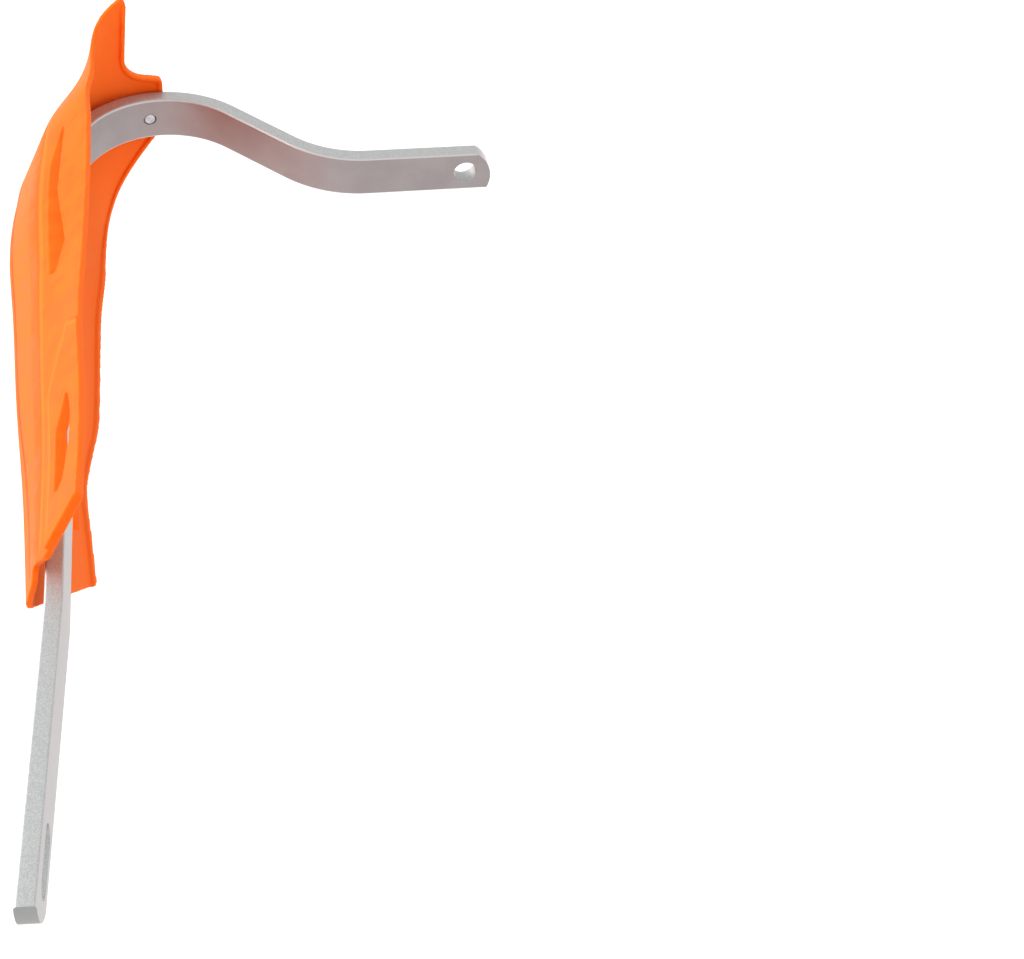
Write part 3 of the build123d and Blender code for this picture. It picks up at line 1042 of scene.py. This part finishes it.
@dataclass
class ShieldFasteners:
    """The screws that hold the shield, and the washer. Heights are out from the bar's middle."""

    finish: PlatedSteel = field(default_factory=PlatedSteel)
    route: BarRoute = field(default_factory=BarRoute)
    hand_side: float = -BAR_THICKNESS / 2
    outer_seat: float = 6.8 * MILLIMETRE
    inner_tip: float = 8.5 * MILLIMETRE
    shank_radius: float = 2.5 * MILLIMETRE
    point_break: float = 0.5 * MILLIMETRE
    head_radius: float = 4.75 * MILLIMETRE
    head_height: float = 2.75 * MILLIMETRE
    dome: Span = (1.45 * MILLIMETRE, 1.6 * MILLIMETRE)
    dome_steps: int = 8
    socket_width: float = 3 * MILLIMETRE
    socket_depth: float = 1.6 * MILLIMETRE
    washer_radius: float = 6 * MILLIMETRE
    washer_hole: float = 2.7 * MILLIMETRE
    washer_thickness: float = 1 * MILLIMETRE
    edge: float = 0.12 * MILLIMETRE
    sharp_angle: float = radians(35)

    def turned(self, name: str, profile: Outline, steps: int = 64) -> Piece:
        """Draw a round piece out of a disc, as on a lathe, along the z axis.

        Args:
            name: name of the piece.
            profile: radius and height of each ring, in order of height.
            steps: facets around the piece.

        Returns:
            The piece, still at the origin.
        """
        radius, height = profile[0]
        disc = {"vertices": steps, "radius": radius, "fill_type": "NGON", "location": (0.0, 0.0, height)}
        bpy.ops.object.select_all(action="DESELECT")
        bpy.ops.mesh.primitive_circle_add(**disc)
        piece = bpy.context.active_object
        piece.name = name
        bpy.ops.object.transform_apply(location=True, rotation=True, scale=True)
        bpy.ops.object.mode_set(mode="EDIT")
        bpy.ops.mesh.select_all(action="SELECT")
        for next_radius, next_height in profile[1:]:
            lift = {"value": (0.0, 0.0, next_height - height)}
            bpy.ops.mesh.extrude_region_move(TRANSFORM_OT_translate=lift)
            share = next_radius / radius
            bpy.ops.transform.resize(value=(share, share, 1.0), center_override=(0.0, 0.0, next_height))
            radius, height = next_radius, next_height
        bpy.ops.mesh.select_all(action="SELECT")
        bpy.ops.mesh.normals_make_consistent(inside=False)
        bpy.ops.object.mode_set(mode="OBJECT")
        return piece

    def cut_socket(self, piece: Piece, face: float) -> None:
        """Sink the six-sided socket into a screw head.

        Args:
            piece: the screw, still at the origin.
            face: height of the head's face.
        """
        socket = round_outline(self.socket_width / 2 / cos(pi / 6), steps=6)
        low, high = face - self.socket_depth, face + self.socket_depth
        cut_away(piece, cutter(Matrix.Identity(4), socket, socket, low, high))

    def outer_screw(self) -> Piece:
        """Model the button-head screw, with its tip in the bar's hand side and its head on the washer.

        Returns:
            The screw, still at the origin.
        """
        under_head = self.outer_seat + self.washer_thickness
        top = under_head + self.head_height
        inset, drop = self.dome
        profile = [
            (self.shank_radius - self.point_break, self.hand_side),
            (self.shank_radius, self.hand_side + self.point_break),
            (self.shank_radius, under_head),
            (self.head_radius, under_head),
        ]
        for step in range(self.dome_steps + 1):
            angle = step * pi / 2 / self.dome_steps
            profile.append((self.head_radius - inset * (1 - cos(angle)), top - drop * (1 - sin(angle))))
        piece = self.turned("outer_screw", profile)
        self.cut_socket(piece, top)
        return piece

    def outer_washer(self) -> Piece:
        """Model the flat washer under the button head.

        Returns:
            The washer, still at the origin.
        """
        low, high = self.outer_seat, self.outer_seat + self.washer_thickness
        piece = self.turned("outer_washer", [(self.washer_radius, low), (self.washer_radius, high)])
        hole = round_outline(self.washer_hole)
        clear = self.washer_thickness
        cut_away(piece, cutter(Matrix.Identity(4), hole, hole, low - clear, high + clear))
        return piece

    def inner_screw(self) -> Piece:
        """Model the countersunk screw, flush in the bar's hand side.

        Returns:
            The screw, still at the origin.
        """
        depth = self.head_radius - self.shank_radius
        profile = [
            (self.head_radius, self.hand_side),
            (self.shank_radius, self.hand_side + depth),
            (self.shank_radius, self.inner_tip - self.point_break),
            (self.shank_radius - self.point_break, self.inner_tip),
        ]
        piece = self.turned("inner_screw", profile)
        self.cut_socket(piece, self.hand_side)
        return piece

    def build(self) -> None:
        """Model, place and dress the screws and the washer."""
        material = self.finish.material()
        fasteners = (
            (self.outer_screw(), self.route.outer_screw, Node.OUTER_SCREW),
            (self.outer_washer(), self.route.outer_screw, Node.OUTER_WASHER),
            (self.inner_screw(), self.route.inner_screw, Node.INNER_SCREW),
        )
        for piece, station, node in fasteners:
            finish_edges(piece, self.edge, self.sharp_angle)
            select_only(piece)
            piece.matrix_world = self.route.place(station)
            bpy.ops.object.transform_apply(location=True, rotation=True, scale=True)
            settle(piece, material, [node])


@dataclass
class Studio:
    """White floor, soft light and the photograph's camera."""

    floor_finish: PaleFloor = field(default_factory=PaleFloor)
    floor_reach: float = 6.0
    floor_gap: float = 90 * MILLIMETRE
    bright_side: Triple = (0.45, 0.65, 0.6)
    dome_limits: Span = (-0.8, 0.9)
    dome_levels: Span = (0.78, 1.15)
    key_place: Triple = (0.35, 1.7, 0.85)
    key_size: float = 1.2
    key_power: float = 24.0
    camera_place: Triple = (-0.47495, 0.13272, 0.39752)
    camera_forward: Triple = (0.60099, -0.22502, -0.76693)
    camera_right: Triple = (-0.21579, -0.9696, 0.11538)
    photo_width: float = 1024.0
    focal_pixels: float = 1521.0
    sensor_width: float = 36.0
    clip_start: float = 10 * MILLIMETRE

    def floor(self) -> None:
        """Lay the floor below the lowest point of the guard."""
        height = CAD_BOX[0][2] - self.floor_gap
        bpy.ops.object.select_all(action="DESELECT")
        bpy.ops.mesh.primitive_plane_add(size=self.floor_reach, location=(0.0, 0.0, height))
        plane = bpy.context.active_object
        plane.name = "studio_floor"
        bpy.ops.object.transform_apply(location=True, rotation=False, scale=False)
        plane.data.materials.append(self.floor_finish.material())

    def dome_level(self, tree: bpy.types.NodeTree) -> Socket:
        """Strength of the dome light, which grows toward its bright side.

        Args:
            tree: nodes of the world.

        Returns:
            The strength.
        """
        toward = tree.nodes.new("ShaderNodeVectorMath")
        toward.operation = "DOT_PRODUCT"
        toward.inputs[1].default_value = Vector(self.bright_side).normalized()
        tree.links.new(tree.nodes.new("ShaderNodeTexCoord").outputs["Generated"], toward.inputs[0])
        level = tree.nodes.new("ShaderNodeMapRange")
        level.interpolation_type = "SMOOTHSTEP"
        names = ("From Min", "From Max", "To Min", "To Max")
        for name, value in zip(names, (*self.dome_limits, *self.dome_levels)):
            level.inputs[name].default_value = value
        tree.links.new(toward.outputs["Value"], level.inputs["Value"])
        return level.outputs["Result"]

    def seen_share(self, tree: bpy.types.NodeTree) -> Socket:
        """Rays that see the dome itself, straight, mirrored or through glass.

        Args:
            tree: nodes of the world.

        Returns:
            1 for such rays and 0 for others.
        """
        path = tree.nodes.new("ShaderNodeLightPath").outputs
        seen = path["Is Camera Ray"]
        for ray in ("Is Glossy Ray", "Is Transmission Ray"):
            either = tree.nodes.new("ShaderNodeMath")
            either.operation = "MAXIMUM"
            tree.links.new(seen, either.inputs[0])
            tree.links.new(path[ray], either.inputs[1])
            seen = either.outputs[0]
        return seen

    def dome(self) -> None:
        """Set the graded dome light. Where it is seen, it is plain white."""
        world = bpy.data.worlds.new("studio_dome")
        world.use_nodes = True
        tree = world.node_tree
        light = tree.nodes["Background"]
        light.inputs["Color"].default_value = WHITE
        tree.links.new(self.dome_level(tree), light.inputs["Strength"])
        white = tree.nodes.new("ShaderNodeBackground")
        white.inputs["Color"].default_value = WHITE
        white.inputs["Strength"].default_value = 1.0
        mix = tree.nodes.new("ShaderNodeMixShader")
        for socket, source in zip(mix.inputs, (self.seen_share(tree), light.outputs[0], white.outputs[0])):
            tree.links.new(source, socket)
        tree.links.new(mix.outputs[0], tree.nodes["World Output"].inputs["Surface"])
        bpy.context.scene.world = world

    def key_lamp(self) -> None:
        """Hang the large soft lamp, aimed at the origin."""
        lamp = bpy.data.lights.new("key_lamp", "AREA")
        lamp.energy = self.key_power
        lamp.size = self.key_size
        holder = bpy.data.objects.new("key_lamp", lamp)
        holder.location = self.key_place
        aim = -Vector(self.key_place)
        holder.rotation_euler = aim.to_track_quat("-Z", "Y").to_euler()
        bpy.context.scene.collection.objects.link(holder)

    def camera(self) -> None:
        """Stand the camera where the photograph was taken from."""
        back = -Vector(self.camera_forward).normalized()
        right = Vector(self.camera_right).normalized()
        up = back.cross(right)
        turn = Matrix((right, up, back)).transposed().to_4x4()
        lens = bpy.data.cameras.new("photo_camera")
        lens.sensor_fit = "HORIZONTAL"
        lens.sensor_width = self.sensor_width
        lens.lens = self.sensor_width * self.focal_pixels / self.photo_width
        lens.clip_start = self.clip_start
        holder = bpy.data.objects.new("photo_camera", lens)
        holder.matrix_world = Matrix.Translation(self.camera_place) @ turn
        bpy.context.scene.collection.objects.link(holder)
        bpy.context.scene.camera = holder

    def build(self) -> None:
        """Set up the floor, the light, the camera and plain colour handling."""
        self.floor()
        self.dome()
        self.key_lamp()
        self.camera()
        bpy.context.scene.view_settings.view_transform = "Standard"


def main() -> None:
    """Build the guard's pieces in order, then the studio."""
    logging.basicConfig(level=logging.INFO, format="%(name)s: %(message)s")
    for assembly in (GuardBar(), HandShield(), ShieldFasteners(), Studio()):
        assembly.build()
        LOG.info("built %s", type(assembly).__name__)


if __name__ == "__main__":
    main()
